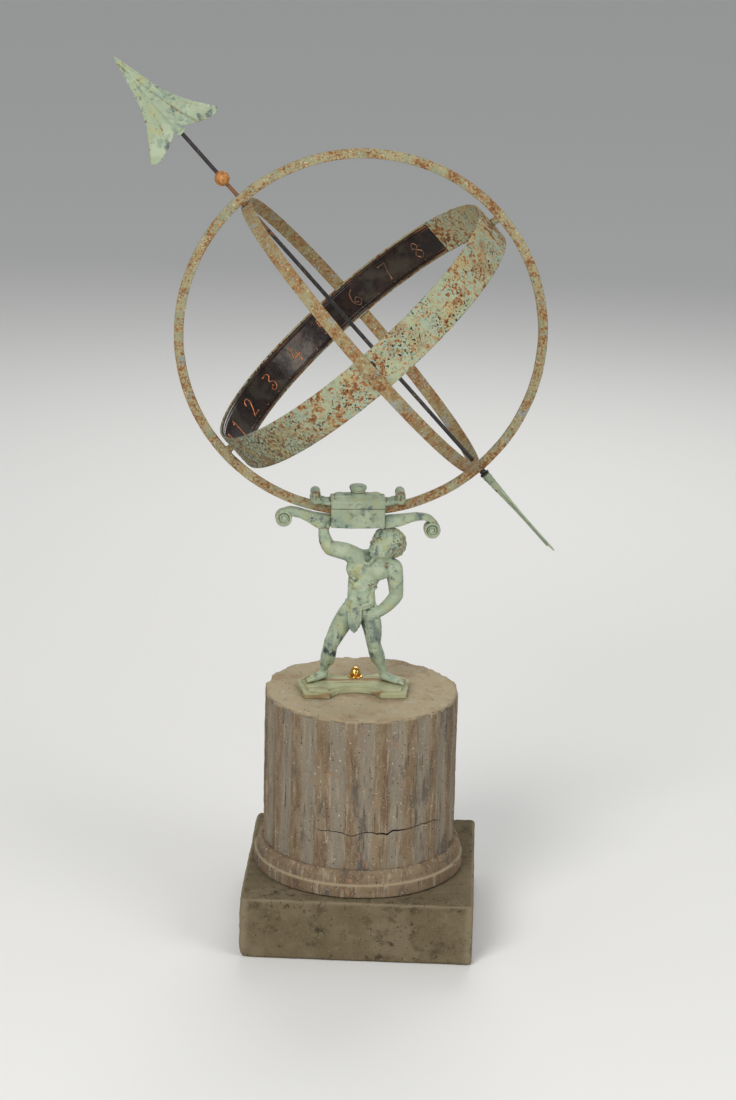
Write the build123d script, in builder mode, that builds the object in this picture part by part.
from build123d import *
from math import atan2, cos, degrees, hypot, radians, sin, sqrt
import os

os.makedirs("parts", exist_ok=True)

# An armillary sundial: rings and a polar rod held up by a bronze man on a fluted stone drum.
# X to the right, Y away from the viewer, Z up, origin at the centre of the plinth's underside.
# The meridian ring stands in the XZ plane and is seen from -Y.

# Stone pedestal; the plinth is turned a little against the rings, which are set to north
PLINTH_WIDTH = 384.0
PLINTH_HEIGHT = 105.0
PLINTH_EDGE = 6.0
PLINTH_TURN = -6.0
PLINTH_X = 6.0
MOULDING_R = 176.5
MOULDING_BAND = 23.0
MOULDING_TOP_R = 163.0
MOULDING_HEIGHT = 46.0
DRUM_R = 161.5
DRUM_TOP = 410.0
FLUTES = 20
FLUTE_WIDTH = 31.0
FLUTE_DEPTH = 3.5
DOWEL_R = 12.0
DOWEL_BOTTOM = 45.0
DOWEL_TOP = 260.0

# Bronze: its upright axis stands a little off the middle of the stone
BRONZE_X = -14.0
BRONZE_Y = -8.0
PLATE_LENGTH = 189.0
PLATE_FRONT_LENGTH = 168.0
PLATE_BACK_LENGTH = 140.0
PLATE_DEPTH = 98.0
PLATE_THICKNESS = 9.0
STEP_INSET = 8.0
STEP_HEIGHT = 4.0
ARCH_CHORD = 90.0
ARCH_RISE = 15.0

# Stud, washer and domed nut that hold the bronze on the stone
STUD_X = BRONZE_X + 4.0
STUD_Y = BRONZE_Y + 26.0
STUD_R = 6.0
STUD_DEPTH = 70.0
WASHER_R = 12.5
WASHER_THICKNESS = 2.5
NUT_FLATS = 18.0
NUT_HEIGHT = 6.0
NUT_DOME_R = 8.6

# Sphere
CENTRE = (BRONZE_X, BRONZE_Y, 1010.0)
LATITUDE = 48.0
RING_R = 300.0
RING_RADIAL = 16.0
RING_WIDTH = 8.0
BAND_R = 275.0
BAND_THICKNESS = 3.0
BAND_WIDTH = 65.0
POLAR_R = 280.0
POLAR_THICKNESS = 3.0
POLAR_WIDTH = 20.5
SPACER_R = 7.0
CROSSING_RIVET_R = 2.5
CROSSING_HEAD_R = 5.5

# Hour strip inside the band; the afternoon numbers are the ones behind the rod
STRIP_THICKNESS = 1.2
STRIP_WIDTH = 58.0
LIP_R = 2.2
HOUR_SIX_ANGLE = 88.5
HOUR_STEP = 15.0
FIRST_HOUR = 4
LAST_HOUR = 20
STRIP_END_HOURS = 0.7
DIGIT_HEIGHT = 33.0
DIGIT_WIDTH = 19.0
TEEN_WIDTH = 13.0
TEEN_GAP = 3.0
STROKE_WIDTH = 3.6
RELIEF = 1.2
DOT_R = 1.5
DOT_LEVEL = -22.0
STRIP_RIVET_R = 1.5
STRIP_RIVET_HEAD_R = 2.6
STRIP_RIVET_LEVEL = 21.0

# Polar rod and what is on it, measured along it from the ring's centre, north positive
ROD_R = 3.3
ROD_NORTH = 448.0
ROD_SOUTH = -332.0
BALL_R = 12.0
BALL_AT = 336.0
COLLAR_R = 5.5
SOUTH_NUT_FLATS = 10.0
SOUTH_NUT_LENGTH = 6.0
SOUTH_WASHER_R = 8.0
SOUTH_WASHER_LENGTH = 3.0
HEAD_AT = 430.0
HEAD_TIP = 590.0
HEAD_THICKNESS = 3.0
SOCKET_R = 8.0
SOCKET_LENGTH = 14.0
HEAD_RIB_R = 5.5
FLIGHT_END = 480.0
FLIGHT_TWIST = 10.0
FLIGHT_HALF_WIDTH = 26.0
FLIGHT_THICKNESS = 3.4
FLIGHT_CONE_END = 442.0

# Cradle that holds the meridian ring
CRADLE_BOTTOM = 692.0
CRADLE_SPLIT = 725.0
CRADLE_TOP = 747.0
CRADLE_CREASE = 738.0
CRADLE_HALF_LENGTH = 44.0
CRADLE_HALF_DEPTH = 18.0
SLOT_GAP = 0.6
LUG_X = 69.0
LUG_R = 8.0
LUG_TOP = 755.5
BOSS_R = 13.0
BOSS_TOP = 749.5
CLAMP_R = 5.0
CLAMP_HEAD_R = 14.3
CLAMP_HEAD_HEIGHT = 12.0
ARM_HALF_DEPTH = 9.0
VOLUTE_R = 13.7
VOLUTE_HALF_DEPTH = 11.0
SCREW_R = 2.5
SCREW_HEAD_R = 4.5
SCREW_HEAD_HEIGHT = 4.0
PIN_R = 2.5
PIN_LENGTH = 20.0
PIN_PLACES = ((-56.0, 683.0), (54.0, 680.0))
FOOT_SCREW_PLACES = ((-52.0, 12.0), (62.0, -4.0))
FOOT_SCREW_LENGTH = 22.0
CAP_SCREW_X = 36.0
CAP_SCREW_Y = 12.0

FIT = 0.05

# Directions: POLE runs up the rod to the arrowhead, ACROSS is square to it in the ring's plane
POLE = Vector(-cos(radians(LATITUDE)), 0, sin(radians(LATITUDE)))
ACROSS = Vector(sin(radians(LATITUDE)), 0, cos(radians(LATITUDE)))
MERIDIAN = Plane(origin=CENTRE, x_dir=(1, 0, 0), z_dir=(0, -1, 0))
EQUATOR = Plane(origin=CENTRE, x_dir=ACROSS, z_dir=POLE)
COLURE = Plane(origin=CENTRE, x_dir=(0, 1, 0), z_dir=ACROSS)


def on_rod(distance):
    """Plane square to the rod at a distance north of the ring's centre."""
    return EQUATOR.offset(distance)


def bronze(x, y, z):
    """Point given from the bronze's upright axis, at a height above the floor."""
    return (BRONZE_X + x, BRONZE_Y + y, z)


# Stone pedestal

with BuildPart() as fixing_stud:
    with BuildSketch(Plane.XY.offset(DRUM_TOP - STUD_DEPTH)):
        with Locations((STUD_X, STUD_Y)):
            Circle(STUD_R)
    extrude(amount=STUD_DEPTH + PLATE_THICKNESS + STEP_HEIGHT + WASHER_THICKNESS + NUT_HEIGHT)

with BuildPart() as drum_dowel:
    with BuildSketch(Plane.XY.offset(DOWEL_BOTTOM)):
        Circle(DOWEL_R)
    extrude(amount=DOWEL_TOP - DOWEL_BOTTOM)

with BuildPart() as plinth:
    with BuildSketch():
        with Locations((PLINTH_X, 0)):
            Rectangle(PLINTH_WIDTH, PLINTH_WIDTH, rotation=PLINTH_TURN)
    extrude(amount=PLINTH_HEIGHT)
    fillet(plinth.edges().filter_by(Axis.Z) + plinth.edges().group_by(Axis.Z)[-1], PLINTH_EDGE)
    add(drum_dowel.part, mode=Mode.SUBTRACT)

with BuildPart() as base_moulding:
    with BuildSketch(Plane.XZ):
        with BuildLine():
            foot = Line((0, PLINTH_HEIGHT), (MOULDING_R, PLINTH_HEIGHT))
            side = Line(foot @ 1, (MOULDING_R, PLINTH_HEIGHT + MOULDING_BAND))
            ledge = Line(side @ 1, (MOULDING_R - 3, PLINTH_HEIGHT + MOULDING_BAND))
            crown = (MOULDING_TOP_R, PLINTH_HEIGHT + MOULDING_HEIGHT)
            shoulder = RadiusArc(ledge @ 1, crown, -22)
            top = Line(shoulder @ 1, (0, PLINTH_HEIGHT + MOULDING_HEIGHT))
            Line(top @ 1, foot @ 0)
        make_face()
    revolve(axis=Axis.Z)
    add(drum_dowel.part, mode=Mode.SUBTRACT)

# Each flute is a round channel that cuts FLUTE_DEPTH into the drum over FLUTE_WIDTH
flute_r = (FLUTE_DEPTH**2 + (FLUTE_WIDTH / 2) ** 2) / (2 * FLUTE_DEPTH)
flute_rim = sqrt(DRUM_R**2 - (FLUTE_WIDTH / 2) ** 2)
drum_bottom = PLINTH_HEIGHT + MOULDING_HEIGHT

with BuildPart() as fluted_drum:
    with BuildSketch(Plane.XY.offset(drum_bottom)):
        Circle(DRUM_R)
        with PolarLocations(flute_rim + sqrt(flute_r**2 - (FLUTE_WIDTH / 2) ** 2), FLUTES):
            Circle(flute_r, mode=Mode.SUBTRACT)
    extrude(amount=DRUM_TOP - drum_bottom)
    add(drum_dowel.part, mode=Mode.SUBTRACT)
    add(fixing_stud.part, mode=Mode.SUBTRACT)

plate_top = DRUM_TOP + PLATE_THICKNESS + STEP_HEIGHT

with BuildPart() as fixing_washer:
    with BuildSketch(Plane.XY.offset(plate_top)):
        with Locations((STUD_X, STUD_Y)):
            Circle(WASHER_R)
            Circle(STUD_R, mode=Mode.SUBTRACT)
    extrude(amount=WASHER_THICKNESS)

with BuildPart() as domed_nut:
    with BuildSketch(Plane.XY.offset(plate_top + WASHER_THICKNESS)):
        with Locations((STUD_X, STUD_Y)):
            RegularPolygon(NUT_FLATS / 2, 6, major_radius=False)
    extrude(amount=NUT_HEIGHT)
    with Locations((STUD_X, STUD_Y, plate_top + WASHER_THICKNESS + NUT_HEIGHT)):
        Sphere(NUT_DOME_R, arc_size1=0, align=(Align.CENTER, Align.CENTER, Align.MIN))
    add(fixing_stud.part, mode=Mode.SUBTRACT)

# Bronze base plate: long sides hollowed by an arch, corners cut, a raised step on top


def plate_outline(inset):
    """Plan of the plate drawn in by an inset: front edge, side points and back edge."""
    front = BRONZE_Y - PLATE_DEPTH / 2 + inset
    back = BRONZE_Y + PLATE_DEPTH / 2 - inset
    side = PLATE_LENGTH / 2 - inset
    waist = BRONZE_Y + PLATE_DEPTH / 5
    return [
        (BRONZE_X - PLATE_FRONT_LENGTH / 2 + inset, front),
        (BRONZE_X + PLATE_FRONT_LENGTH / 2 - inset, front),
        (BRONZE_X + side, waist),
        (BRONZE_X + PLATE_BACK_LENGTH / 2 - inset, back),
        (BRONZE_X - PLATE_BACK_LENGTH / 2 + inset, back),
        (BRONZE_X - side, waist),
    ]


arch_r = (ARCH_RISE**2 + (ARCH_CHORD / 2) ** 2) / (2 * ARCH_RISE)
stud_hole_r = STUD_R + FIT

with BuildPart() as foot_screws:
    for x, y in FOOT_SCREW_PLACES:
        with BuildSketch(Plane.XY.offset(DRUM_TOP + SCREW_HEAD_HEIGHT - 1)):
            with Locations(bronze(x, y, 0)[:2]):
                Circle(SCREW_R)
        extrude(amount=FOOT_SCREW_LENGTH)
        with BuildSketch(Plane.XY.offset(DRUM_TOP + 1)):
            with Locations(bronze(x, y, 0)[:2]):
                Circle(SCREW_HEAD_R)
        extrude(amount=SCREW_HEAD_HEIGHT - 1)

with BuildPart() as base_plate:
    for level, inset, height in ((0, 0, PLATE_THICKNESS), (PLATE_THICKNESS, STEP_INSET, STEP_HEIGHT)):
        with BuildSketch(Plane.XY.offset(DRUM_TOP + level)):
            with BuildLine():
                Polyline(plate_outline(inset), close=True)
            make_face()
            for side in (-1, 1):
                arch_y = BRONZE_Y + side * (PLATE_DEPTH / 2 + arch_r - ARCH_RISE)
                with Locations((BRONZE_X, arch_y)):
                    Circle(arch_r + inset * (side < 0), mode=Mode.SUBTRACT)
        extrude(amount=height)
    with Locations((STUD_X, STUD_Y, DRUM_TOP)):
        Cylinder(WASHER_R + 4, PLATE_THICKNESS + STEP_HEIGHT, align=(Align.CENTER, Align.CENTER, Align.MIN))
        Cylinder(stud_hole_r, 60, mode=Mode.SUBTRACT)
    add(foot_screws.part, mode=Mode.SUBTRACT)

# Meridian ring and the rod through its poles

with BuildPart() as gnomon_rod:
    with BuildSketch(on_rod(ROD_SOUTH)):
        Circle(ROD_R)
    extrude(amount=ROD_NORTH - ROD_SOUTH)

with BuildPart() as meridian_ring:
    with BuildSketch(MERIDIAN):
        Circle(RING_R)
        Circle(RING_R - RING_RADIAL, mode=Mode.SUBTRACT)
    extrude(amount=RING_WIDTH / 2, both=True)
    add(gnomon_rod.part, mode=Mode.SUBTRACT)

# Rivets where the polar ring crosses the band, with domed heads outside

with BuildPart() as crossing_rivets:
    for side in (-1, 1):
        outward = Plane(origin=CENTRE, x_dir=ACROSS, z_dir=(0, side, 0))
        with BuildSketch(outward.offset(BAND_R - BAND_THICKNESS)):
            Circle(CROSSING_RIVET_R)
        extrude(amount=POLAR_R - BAND_R + BAND_THICKNESS + 0.5)
        with BuildSketch(outward.offset(POLAR_R)):
            Circle(CROSSING_HEAD_R)
        extrude(amount=3, taper=30)

with BuildPart() as polar_ring:
    with BuildSketch(COLURE):
        Circle(POLAR_R)
        Circle(POLAR_R - POLAR_THICKNESS, mode=Mode.SUBTRACT)
    extrude(amount=POLAR_WIDTH / 2, both=True)
    add(gnomon_rod.part, mode=Mode.SUBTRACT)
    add(crossing_rivets.part, mode=Mode.SUBTRACT)

with BuildPart() as spacer_pins:
    for side in (-1, 1):
        outward = Plane(origin=CENTRE, x_dir=(0, 1, 0), z_dir=ACROSS * side)
        with BuildSketch(outward.offset(BAND_R - 1)):
            Circle(SPACER_R)
        extrude(amount=RING_R - RING_RADIAL - BAND_R + 2)
    with BuildSketch(EQUATOR):
        Circle(BAND_R)
    extrude(amount=BAND_WIDTH / 2, both=True, mode=Mode.SUBTRACT)
    add(meridian_ring.part, mode=Mode.SUBTRACT)

# Hour strip: a thin curved strip with rolled lips, open for the hours of night

strip_r = BAND_R - BAND_THICKNESS
face_r = strip_r - STRIP_THICKNESS
strip_start = HOUR_SIX_ANGLE - HOUR_STEP * (LAST_HOUR - 18 + STRIP_END_HOURS)
strip_hours = LAST_HOUR - FIRST_HOUR + 2 * STRIP_END_HOURS
strip_sweep = HOUR_STEP * strip_hours


def hour_angle(hour):
    """Angle round the band of an hour counted 0 to 24, growing towards the morning."""
    return HOUR_SIX_ANGLE + HOUR_STEP * (18 - hour)


def facing_in(angle, radius):
    """Plane at an angle round the band that faces the rod, with POLE upwards."""
    outward = ACROSS * cos(radians(angle)) + Vector(0, 1, 0) * sin(radians(angle))
    return Plane(origin=Vector(*CENTRE) + outward * radius, x_dir=outward.cross(POLE), z_dir=-outward)


def sector(low_r, high_r):
    """Face over the stretch of a ring that the strip covers, for the current sketch."""
    with BuildLine() as rim:
        inner = CenterArc((0, 0), low_r, strip_start, strip_sweep)
        outer = CenterArc((0, 0), high_r, strip_start, strip_sweep)
        Line(inner @ 0, outer @ 0)
        Line(inner @ 1, outer @ 1)
    return make_face(rim.edges())


strip_rivet_angles = (
    hour_angle(FIRST_HOUR - 0.4),
    hour_angle(9.5),
    hour_angle(14.5),
    hour_angle(LAST_HOUR + 0.4),
)

with BuildPart() as strip_rivets:
    for angle in strip_rivet_angles:
        inward = facing_in(angle, BAND_R)
        with BuildSketch(inward):
            with Locations((0, STRIP_RIVET_LEVEL)):
                Circle(STRIP_RIVET_R)
        extrude(amount=BAND_THICKNESS + STRIP_THICKNESS + 0.6)
        with BuildSketch(inward.offset(BAND_THICKNESS + STRIP_THICKNESS + 0.2)):
            with Locations((0, STRIP_RIVET_LEVEL)):
                Circle(STRIP_RIVET_HEAD_R)
        extrude(amount=1.4, taper=30)
    with BuildSketch(EQUATOR):
        Circle(BAND_R + 10)
        Circle(BAND_R, mode=Mode.SUBTRACT)
    extrude(amount=BAND_WIDTH, both=True, mode=Mode.SUBTRACT)

with BuildPart() as equatorial_band:
    with BuildSketch(EQUATOR):
        Circle(BAND_R)
        Circle(BAND_R - BAND_THICKNESS, mode=Mode.SUBTRACT)
    extrude(amount=BAND_WIDTH / 2, both=True)
    add(crossing_rivets.part, mode=Mode.SUBTRACT)
    add(strip_rivets.part, mode=Mode.SUBTRACT)

with BuildPart() as hour_strip:
    with BuildSketch(EQUATOR):
        sector(face_r, strip_r)
    extrude(amount=STRIP_WIDTH / 2, both=True)
    for side in (-1, 1):
        lip_level = side * (STRIP_WIDTH / 2 - LIP_R)
        with BuildSketch(EQUATOR.offset(lip_level - LIP_R)):
            sector(strip_r - 2 * LIP_R, strip_r)
        extrude(amount=2 * LIP_R)
    add(strip_rivets.part, mode=Mode.SUBTRACT)

# Raised numbers, drawn as strokes on a grid 2 wide and 4 tall

THREE_TOP = [(0, 3.4), (0.6, 4), (1.4, 4), (2, 3.3), (1.9, 2.5), (0.9, 2.1)]
DIGITS = {
    "0": [(0.6, 0), (0, 1), (0, 3), (0.6, 4), (1.4, 4), (2, 3), (2, 1), (1.4, 0), (0.6, 0)],
    "1": [(0.3, 3.2), (1, 4), (1, 0)],
    "2": [(0, 3.2), (0.6, 4), (1.4, 4), (2, 3.2), (2, 2.5), (0, 0), (2, 0)],
    "3": THREE_TOP + [(1.9, 1.7), (2, 0.8), (1.4, 0), (0.6, 0), (0, 0.6)],
    "4": [(1.5, 0), (1.5, 4), (0, 1.2), (2, 1.2)],
    "5": [(1.9, 4), (0.2, 4), (0, 2.2), (1.4, 2.4), (2, 1.6), (2, 0.8), (1.4, 0), (0.5, 0), (0, 0.5)],
    "6": [(1.7, 4), (0.6, 3), (0, 1.6), (0, 0.8), (0.6, 0), (1.4, 0), (2, 0.7), (1.4, 2.2), (0.2, 1.9)],
    "7": [(0, 4), (2, 4), (0.7, 0)],
    "8": [(1, 2.1), (0.2, 2.8), (0.2, 3.5), (1, 4), (1.8, 3.5), (1, 2.1), (0, 1.4), (0, 0.6), (1, 0)],
    "9": [(0.3, 0), (1.4, 1), (2, 2.4), (2, 3.2), (1.4, 4), (0.6, 4), (0, 3.3), (0.6, 1.8), (1.8, 2.1)],
}
EIGHT_RIGHT = [(1, 0), (2, 0.6), (2, 1.4), (1, 2.1)]


def strokes(text):
    """Stroke ends of a number centred on the origin, in millimetres."""
    width = DIGIT_WIDTH if len(text) == 1 else TEEN_WIDTH
    tall = DIGIT_HEIGHT - STROKE_WIDTH
    wide = width - STROKE_WIDTH
    first = -(len(text) - 1) * (width + TEEN_GAP) / 2
    for place, digit in enumerate(text):
        middle = first + place * (width + TEEN_GAP)
        for route in (DIGITS[digit], EIGHT_RIGHT if digit == "8" else []):
            points = [(middle + (x / 2 - 0.5) * wide, (y / 4 - 0.5) * tall) for x, y in route]
            yield from zip(points, points[1:])


with BuildPart() as hour_numerals:
    for hour in range(FIRST_HOUR, LAST_HOUR + 1):
        with BuildSketch(facing_in(hour_angle(hour), strip_r)):
            for start, end in strokes(str((hour - 1) % 12 + 1)):
                run_x, run_y = end[0] - start[0], end[1] - start[1]
                with Locations(((start[0] + end[0]) / 2, (start[1] + end[1]) / 2)):
                    heading = degrees(atan2(run_y, run_x))
                    SlotCenterToCenter(hypot(run_x, run_y), STROKE_WIDTH, rotation=heading)
        extrude(amount=4)
    with BuildSketch(EQUATOR):
        Circle(face_r)
        Circle(face_r - RELIEF, mode=Mode.SUBTRACT)
    extrude(amount=BAND_WIDTH / 2, both=True, mode=Mode.INTERSECT)

with BuildPart() as hour_dots:
    for step in range(2 * (LAST_HOUR - FIRST_HOUR) + 1):
        with BuildSketch(facing_in(hour_angle(FIRST_HOUR + step / 2), strip_r)):
            with Locations((0, DOT_LEVEL)):
                Circle(DOT_R)
        extrude(amount=4)
    with BuildSketch(EQUATOR):
        Circle(face_r)
        Circle(face_r - RELIEF, mode=Mode.SUBTRACT)
    extrude(amount=BAND_WIDTH / 2, both=True, mode=Mode.INTERSECT)

# Ball, collars and end fittings on the rod

with BuildPart() as gnomon_ball:
    with Locations(on_rod(BALL_AT).origin):
        Sphere(BALL_R)
    add(gnomon_rod.part, mode=Mode.SUBTRACT)

ring_inside = RING_R - RING_RADIAL

with BuildPart() as pole_collars:
    for start in (POLAR_R - 0.5, -ring_inside - 0.5):
        with BuildSketch(on_rod(start)):
            Circle(COLLAR_R)
            Circle(ROD_R, mode=Mode.SUBTRACT)
        extrude(amount=ring_inside - POLAR_R + 1)
    add(meridian_ring.part, mode=Mode.SUBTRACT)
    add(polar_ring.part, mode=Mode.SUBTRACT)

nut_start = -RING_R - SOUTH_NUT_LENGTH
washer_start = nut_start - SOUTH_WASHER_LENGTH

with BuildPart() as south_nut:
    with BuildSketch(on_rod(nut_start)):
        RegularPolygon(SOUTH_NUT_FLATS / 2, 6, major_radius=False)
        Circle(ROD_R, mode=Mode.SUBTRACT)
    extrude(amount=SOUTH_NUT_LENGTH + 0.5)
    add(meridian_ring.part, mode=Mode.SUBTRACT)

with BuildPart() as south_washer:
    with BuildSketch(on_rod(washer_start)):
        Circle(SOUTH_WASHER_R)
        Circle(ROD_R, mode=Mode.SUBTRACT)
    extrude(amount=SOUTH_WASHER_LENGTH)

# Arrowhead: swallow-tailed blade in the ring's plane with a central rib and a socket

ARROW_PLANE = Plane(origin=CENTRE, x_dir=ACROSS, z_dir=(0, -1, 0))
BARB = (70.0, HEAD_AT - 5)
NOTCH = (46.0, HEAD_AT - 9)
ROOT = (12.0, HEAD_AT + 8)
EDGE_POINTS = [(21.0, HEAD_AT + 78), (41.0, HEAD_AT + 36)]

with BuildPart() as arrowhead:
    with BuildSketch(ARROW_PLANE):
        with BuildLine():
            leading = Spline((0, HEAD_TIP), *EDGE_POINTS, BARB)
            trailing = Spline(BARB, NOTCH, ROOT)
            Line(ROOT, (0, HEAD_AT + 8))
            Line((0, HEAD_AT + 8), (0, HEAD_TIP))
        make_face()
        mirror(about=Plane.YZ)
    extrude(amount=HEAD_THICKNESS / 2, both=True)
    with BuildSketch(on_rod(HEAD_AT)):
        Circle(SOCKET_R)
    extrude(amount=SOCKET_LENGTH)
    with BuildSketch(on_rod(HEAD_AT + SOCKET_LENGTH)):
        Circle(HEAD_RIB_R)
    with BuildSketch(on_rod(HEAD_TIP - 8)):
        Circle(1)
    loft()
    add(gnomon_rod.part, mode=Mode.SUBTRACT)

# Flight: socket that tapers along the feather, and a thin vane turned away from the ring's plane

flight_normal = ACROSS * cos(radians(FLIGHT_TWIST)) + Vector(0, 1, 0) * sin(radians(FLIGHT_TWIST))
FLIGHT_PLANE = Plane(origin=CENTRE, x_dir=POLE.cross(flight_normal), z_dir=flight_normal)

with BuildPart() as arrow_flight:
    with BuildSketch(FLIGHT_PLANE):
        with BuildLine():
            half = Polyline(
                (0, washer_start - 26),
                (FLIGHT_HALF_WIDTH, washer_start - 50),
                (FLIGHT_HALF_WIDTH - 4, -FLIGHT_END),
                (0, -FLIGHT_END + 16),
                close=True,
            )
        make_face()
        mirror(about=Plane.YZ)
    extrude(amount=FLIGHT_THICKNESS / 2, both=True)
    with BuildSketch(on_rod(washer_start)):
        Circle(SOCKET_R - 0.5)
    with BuildSketch(on_rod(-FLIGHT_CONE_END)):
        Circle(FLIGHT_THICKNESS / 2 + 0.5)
    loft()
    add(gnomon_rod.part, mode=Mode.SUBTRACT)

# Cradle: a box cut by the ring's own groove, a cap with lugs, and two scroll arms

FRONT = Plane(origin=(BRONZE_X, BRONZE_Y, 0), x_dir=(1, 0, 0), z_dir=(0, -1, 0))
SIDE = Plane(origin=(BRONZE_X, BRONZE_Y, 0), x_dir=(0, 1, 0), z_dir=(1, 0, 0))
ring_z = CENTRE[2]


def ring_inside_height(x):
    """Height of the meridian ring's inner edge at a distance from its middle."""
    return ring_z - sqrt(ring_inside**2 - x**2)


with BuildPart() as ring_groove:
    with BuildSketch(MERIDIAN):
        Circle(RING_R + SLOT_GAP)
        Circle(ring_inside - SLOT_GAP, mode=Mode.SUBTRACT)
    extrude(amount=RING_WIDTH / 2 + SLOT_GAP, both=True)

with BuildPart() as cap_screws:
    for x in (-CAP_SCREW_X, CAP_SCREW_X):
        for y in (-CAP_SCREW_Y, CAP_SCREW_Y):
            with BuildSketch(Plane.XY.offset(CRADLE_BOTTOM + 1)):
                with Locations(bronze(x, y, 0)[:2]):
                    Circle(SCREW_HEAD_R)
            extrude(amount=SCREW_HEAD_HEIGHT)
            with BuildSketch(Plane.XY.offset(CRADLE_BOTTOM + 4)):
                with Locations(bronze(x, y, 0)[:2]):
                    Circle(SCREW_R)
            extrude(amount=CRADLE_CREASE - CRADLE_BOTTOM - 8)

with BuildPart() as cradle_pins:
    for x, low in PIN_PLACES:
        with BuildSketch(Plane.XY.offset(low)):
            with Locations(bronze(x, 0, 0)[:2]):
                Circle(PIN_R)
        extrude(amount=PIN_LENGTH)

with BuildPart() as cradle_base:
    with BuildSketch(Plane.XY.offset(CRADLE_BOTTOM)):
        with Locations(bronze(0, 0, 0)[:2]):
            RectangleRounded(2 * CRADLE_HALF_LENGTH, 2 * CRADLE_HALF_DEPTH, 2)
    extrude(amount=CRADLE_SPLIT - CRADLE_BOTTOM)
    add(ring_groove.part, mode=Mode.SUBTRACT)
    add(cap_screws.part, mode=Mode.SUBTRACT)
    with Locations(bronze(0, 0, CRADLE_BOTTOM)):
        with GridLocations(2 * CAP_SCREW_X, 2 * CAP_SCREW_Y, 2, 2):
            Cylinder(SCREW_HEAD_R, 2, mode=Mode.SUBTRACT)

with BuildPart() as cradle_cap:
    with BuildSketch(FRONT):
        with BuildLine():
            seam = Line((0, CRADLE_SPLIT), (CRADLE_HALF_LENGTH, CRADLE_SPLIT))
            wall = Line(seam @ 1, (CRADLE_HALF_LENGTH, ring_inside_height(CRADLE_HALF_LENGTH)))
            lug_foot = (LUG_X + LUG_R, ring_inside_height(LUG_X + LUG_R))
            under = RadiusArc(wall @ 1, lug_foot, -ring_inside)
            Polyline(
                lug_foot,
                (LUG_X + LUG_R, LUG_TOP - LUG_R),
                (LUG_X - LUG_R, LUG_TOP - LUG_R),
                (LUG_X - LUG_R, CRADLE_CREASE + 3),
                (38, CRADLE_CREASE + 3),
                (34, CRADLE_TOP - 1),
                (22, CRADLE_TOP),
                (0, CRADLE_TOP),
                (0, CRADLE_SPLIT),
            )
        make_face()
        with Locations((LUG_X, LUG_TOP - LUG_R)):
            Circle(LUG_R)
        mirror(about=Plane.YZ)
    extrude(amount=CRADLE_HALF_DEPTH, both=True)
    with BuildSketch(SIDE):
        with BuildLine():
            slope_top = CRADLE_HALF_DEPTH / 2
            Polyline(
                (-CRADLE_HALF_DEPTH, CRADLE_SPLIT),
                (CRADLE_HALF_DEPTH, CRADLE_SPLIT),
                (CRADLE_HALF_DEPTH, CRADLE_CREASE),
                (slope_top, CRADLE_TOP),
                (slope_top, LUG_TOP + 5),
                (-slope_top, LUG_TOP + 5),
                (-slope_top, CRADLE_TOP),
                (-CRADLE_HALF_DEPTH, CRADLE_CREASE),
                close=True,
            )
        make_face()
    extrude(amount=LUG_X + LUG_R + 5, both=True, mode=Mode.INTERSECT)
    with BuildSketch(Plane.XY.offset(CRADLE_CREASE - 5)):
        with Locations(bronze(0, 0, 0)[:2]):
            Circle(BOSS_R)
    extrude(amount=BOSS_TOP - CRADLE_CREASE + 5)
    with Locations(bronze(0, 0, CRADLE_SPLIT)):
        Cylinder(CLAMP_R + FIT, 80, mode=Mode.SUBTRACT)
    add(ring_groove.part, mode=Mode.SUBTRACT)
    add(cap_screws.part, mode=Mode.SUBTRACT)

with BuildPart() as clamp_screw:
    with BuildSketch(Plane.XY.offset(ring_z - ring_inside + 0.5)):
        with Locations(bronze(0, 0, 0)[:2]):
            Circle(CLAMP_R)
    extrude(amount=BOSS_TOP + 1 - ring_z + ring_inside)
    with BuildSketch(Plane.XY.offset(BOSS_TOP + 0.3)):
        with Locations(bronze(0, 0, 0)[:2]):
            Circle(CLAMP_HEAD_R)
    extrude(amount=CLAMP_HEAD_HEIGHT)
    fillet(clamp_screw.edges().group_by(Axis.Z)[-1], 3.5)

# Outlines of the arms from the box to the volute: upper edge, then lower edge, then volute centre
LEFT_ARM = (
    [(-44, 710.5), (-70, 714.5), (-92, 720.5), (-108, 724), (-124, 720.5)],
    [(-44, 692), (-64, 689.5), (-80, 699), (-94, 706.5), (-108, 710)],
    (-120.5, 706.5),
)
RIGHT_ARM = (
    [(44, 709.5), (71, 711.5), (98, 714), (118, 710.5), (133, 698)],
    [(44, 689.5), (69, 693), (92, 701.5), (108, 703.5), (120, 699.5)],
    (122.5, 687.0),
)


def scroll_arm(upper, lower, volute):
    """One arm of the cradle with its volute, pinned to the figure."""
    with BuildPart() as arm:
        with BuildSketch(FRONT):
            with BuildLine():
                Spline(*upper)
                Spline(*lower)
                Line(upper[0], lower[0])
                Line(upper[-1], lower[-1])
            make_face()
        extrude(amount=ARM_HALF_DEPTH, both=True)
        with BuildSketch(FRONT):
            with Locations(volute):
                Circle(VOLUTE_R)
        extrude(amount=VOLUTE_HALF_DEPTH, both=True)
        add(cradle_pins.part, mode=Mode.SUBTRACT)
    return arm


scroll_arm_left = scroll_arm(*LEFT_ARM)
scroll_arm_right = scroll_arm(*RIGHT_ARM)

# Figure: round tapered limbs between joints, each joint (x, y, height above the stone, radius)

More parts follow.
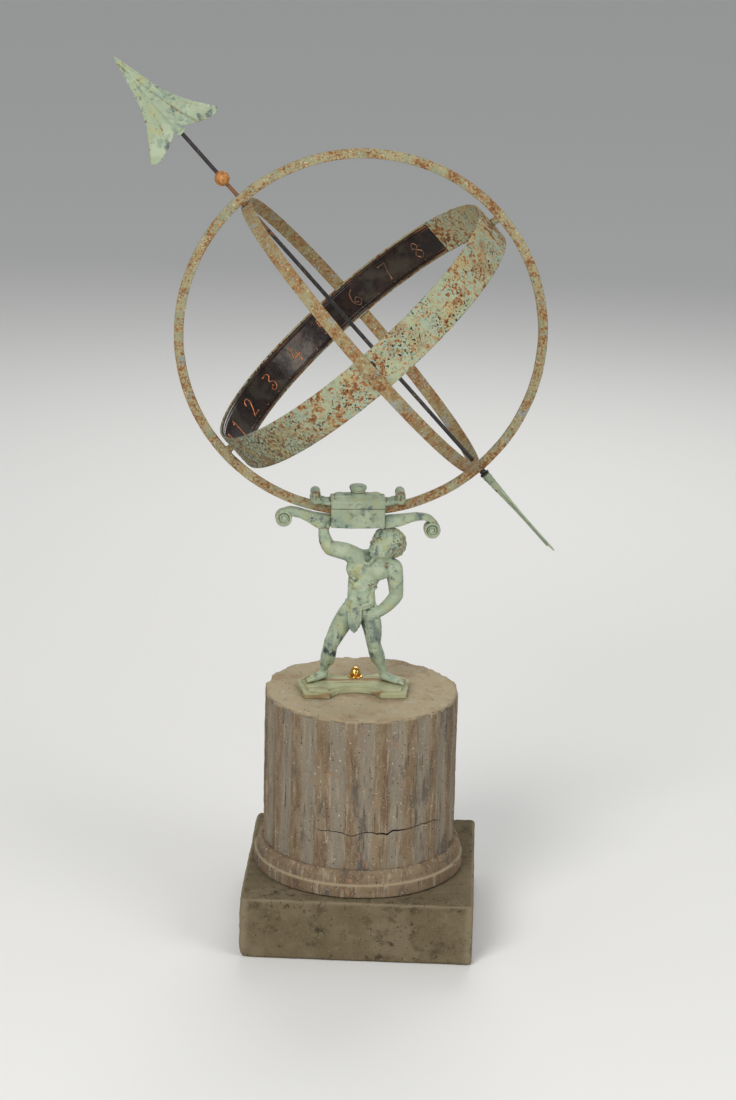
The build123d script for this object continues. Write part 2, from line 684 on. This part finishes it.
FLANK = [(0, 0, 148, 17), (2, 0, 178, 16), (4, -1, 212, 17)]
CHEST = [(12, 0, 148, 16), (24, 0, 178, 16), (38, 2, 206, 17)]
SHOULDERS = [(0, -2, 228, 14), (20, 0, 216, 17), (60, 4, 210, 14)]
NECK = [(32, 1, 220, 15), (45, 1, 238, 14)]
HIPS = [(-6, 0, 140, 17), (21, 0, 137, 17)]
HEAD = [(38, -2, 249, 15), (55, 2, 256, 25)]
RIGHT_UPPER_ARM = [(0, -2, 229, 14), (-26, -5, 243, 12), (-44, -7, 246, 10.5)]
RIGHT_FOREARM = [(-44, -7, 246, 10.5), (-52, -4, 262, 8.5), (-55, -1, 281, 6)]
LEFT_UPPER_ARM = [(60, 4, 210, 14), (64, 7, 186, 12.5), (67, 10, 160, 11)]
LEFT_FOREARM = [(67, 10, 160, 11), (54, 2, 147, 10), (39, -8, 138, 8), (27, -14, 134, 8)]
RIGHT_THIGH = [(-6, -1, 138, 17), (-26, -6, 110, 14.5), (-39, -10, 77, 11)]
RIGHT_SHIN = [(-39, -10, 77, 11), (-43, -4, 59, 12), (-49, 8, 36, 7), (-50, 13, 21, 7.5)]
LEFT_THIGH = [(21, -1, 136, 17), (24, -5, 108, 15.5), (32, -8, 80, 11.5)]
LEFT_SHIN = [(32, -8, 80, 11.5), (38, -2, 60, 11.5), (47, 1, 36, 7), (50, 3, 21, 7.5)]
RIGHT_FOOT = [(-50, 13, 20, 7.5), (-78, -2, 18, 5)]
LEFT_FOOT = [(50, 3, 20, 7.5), (80, -14, 18.5, 5.5)]
LOINCLOTH = [(-3, -14, 146, 9), (-6, -17, 105, 4.5)]


def limb(start, end):
    """Solid of revolution over two joints: round ends joined by a cone."""
    radius_a, radius_b = start[3], end[3]
    foot = Vector(*bronze(*start[:2], DRUM_TOP + start[2]))
    tip = Vector(*bronze(*end[:2], DRUM_TOP + end[2]))
    length = (tip - foot).length
    lean = (radius_a - radius_b) / length
    rise = sqrt(1 - lean**2)
    along = (tip - foot).normalized()
    square = along.cross(Vector(0, 1, 0.2)).normalized()
    plane = Plane(origin=foot, x_dir=square, z_dir=square.cross(along))
    with BuildPart() as piece:
        with BuildSketch(plane):
            with BuildLine():
                low = (radius_a * rise, radius_a * lean)
                high = (radius_b * rise, length + radius_b * lean)
                RadiusArc((0, -radius_a), low, -radius_a)
                Line(low, high)
                RadiusArc(high, (0, length + radius_b), -radius_b)
                Line((0, length + radius_b), (0, -radius_a))
            make_face()
        revolve(axis=Axis(foot, along))
    return piece.part


chains = (FLANK, CHEST, SHOULDERS, NECK, HIPS, HEAD)
chains += (RIGHT_UPPER_ARM, RIGHT_FOREARM, LEFT_UPPER_ARM, LEFT_FOREARM)
chains += (RIGHT_THIGH, RIGHT_SHIN, LEFT_THIGH, LEFT_SHIN, RIGHT_FOOT, LEFT_FOOT, LOINCLOTH)
limbs = [limb(start, end) for chain in chains for start, end in zip(chain, chain[1:])]

with BuildPart() as atlas_figure:
    add(limbs)
    split(bisect_by=Plane.XY.offset(plate_top), keep=Keep.TOP)
    for neighbour in (scroll_arm_left, scroll_arm_right, cradle_base, cradle_pins, foot_screws):
        add(neighbour.part, mode=Mode.SUBTRACT)

pieces = {
    "plinth": plinth,
    "base_moulding": base_moulding,
    "fluted_drum": fluted_drum,
    "drum_dowel": drum_dowel,
    "fixing_stud": fixing_stud,
    "fixing_washer": fixing_washer,
    "domed_nut": domed_nut,
    "base_plate": base_plate,
    "foot_screws": foot_screws,
    "atlas_figure": atlas_figure,
    "cradle_pins": cradle_pins,
    "cradle_base": cradle_base,
    "cradle_cap": cradle_cap,
    "cap_screws": cap_screws,
    "scroll_arm_left": scroll_arm_left,
    "scroll_arm_right": scroll_arm_right,
    "clamp_screw": clamp_screw,
    "meridian_ring": meridian_ring,
    "spacer_pins": spacer_pins,
    "equatorial_band": equatorial_band,
    "crossing_rivets": crossing_rivets,
    "hour_strip": hour_strip,
    "strip_rivets": strip_rivets,
    "hour_numerals": hour_numerals,
    "hour_dots": hour_dots,
    "polar_ring": polar_ring,
    "gnomon_rod": gnomon_rod,
    "gnomon_ball": gnomon_ball,
    "pole_collars": pole_collars,
    "south_nut": south_nut,
    "south_washer": south_washer,
    "arrowhead": arrowhead,
    "arrow_flight": arrow_flight,
}
for name, piece in pieces.items():
    piece.part.label = name
    export_step(piece.part, f"parts/{name}.step")
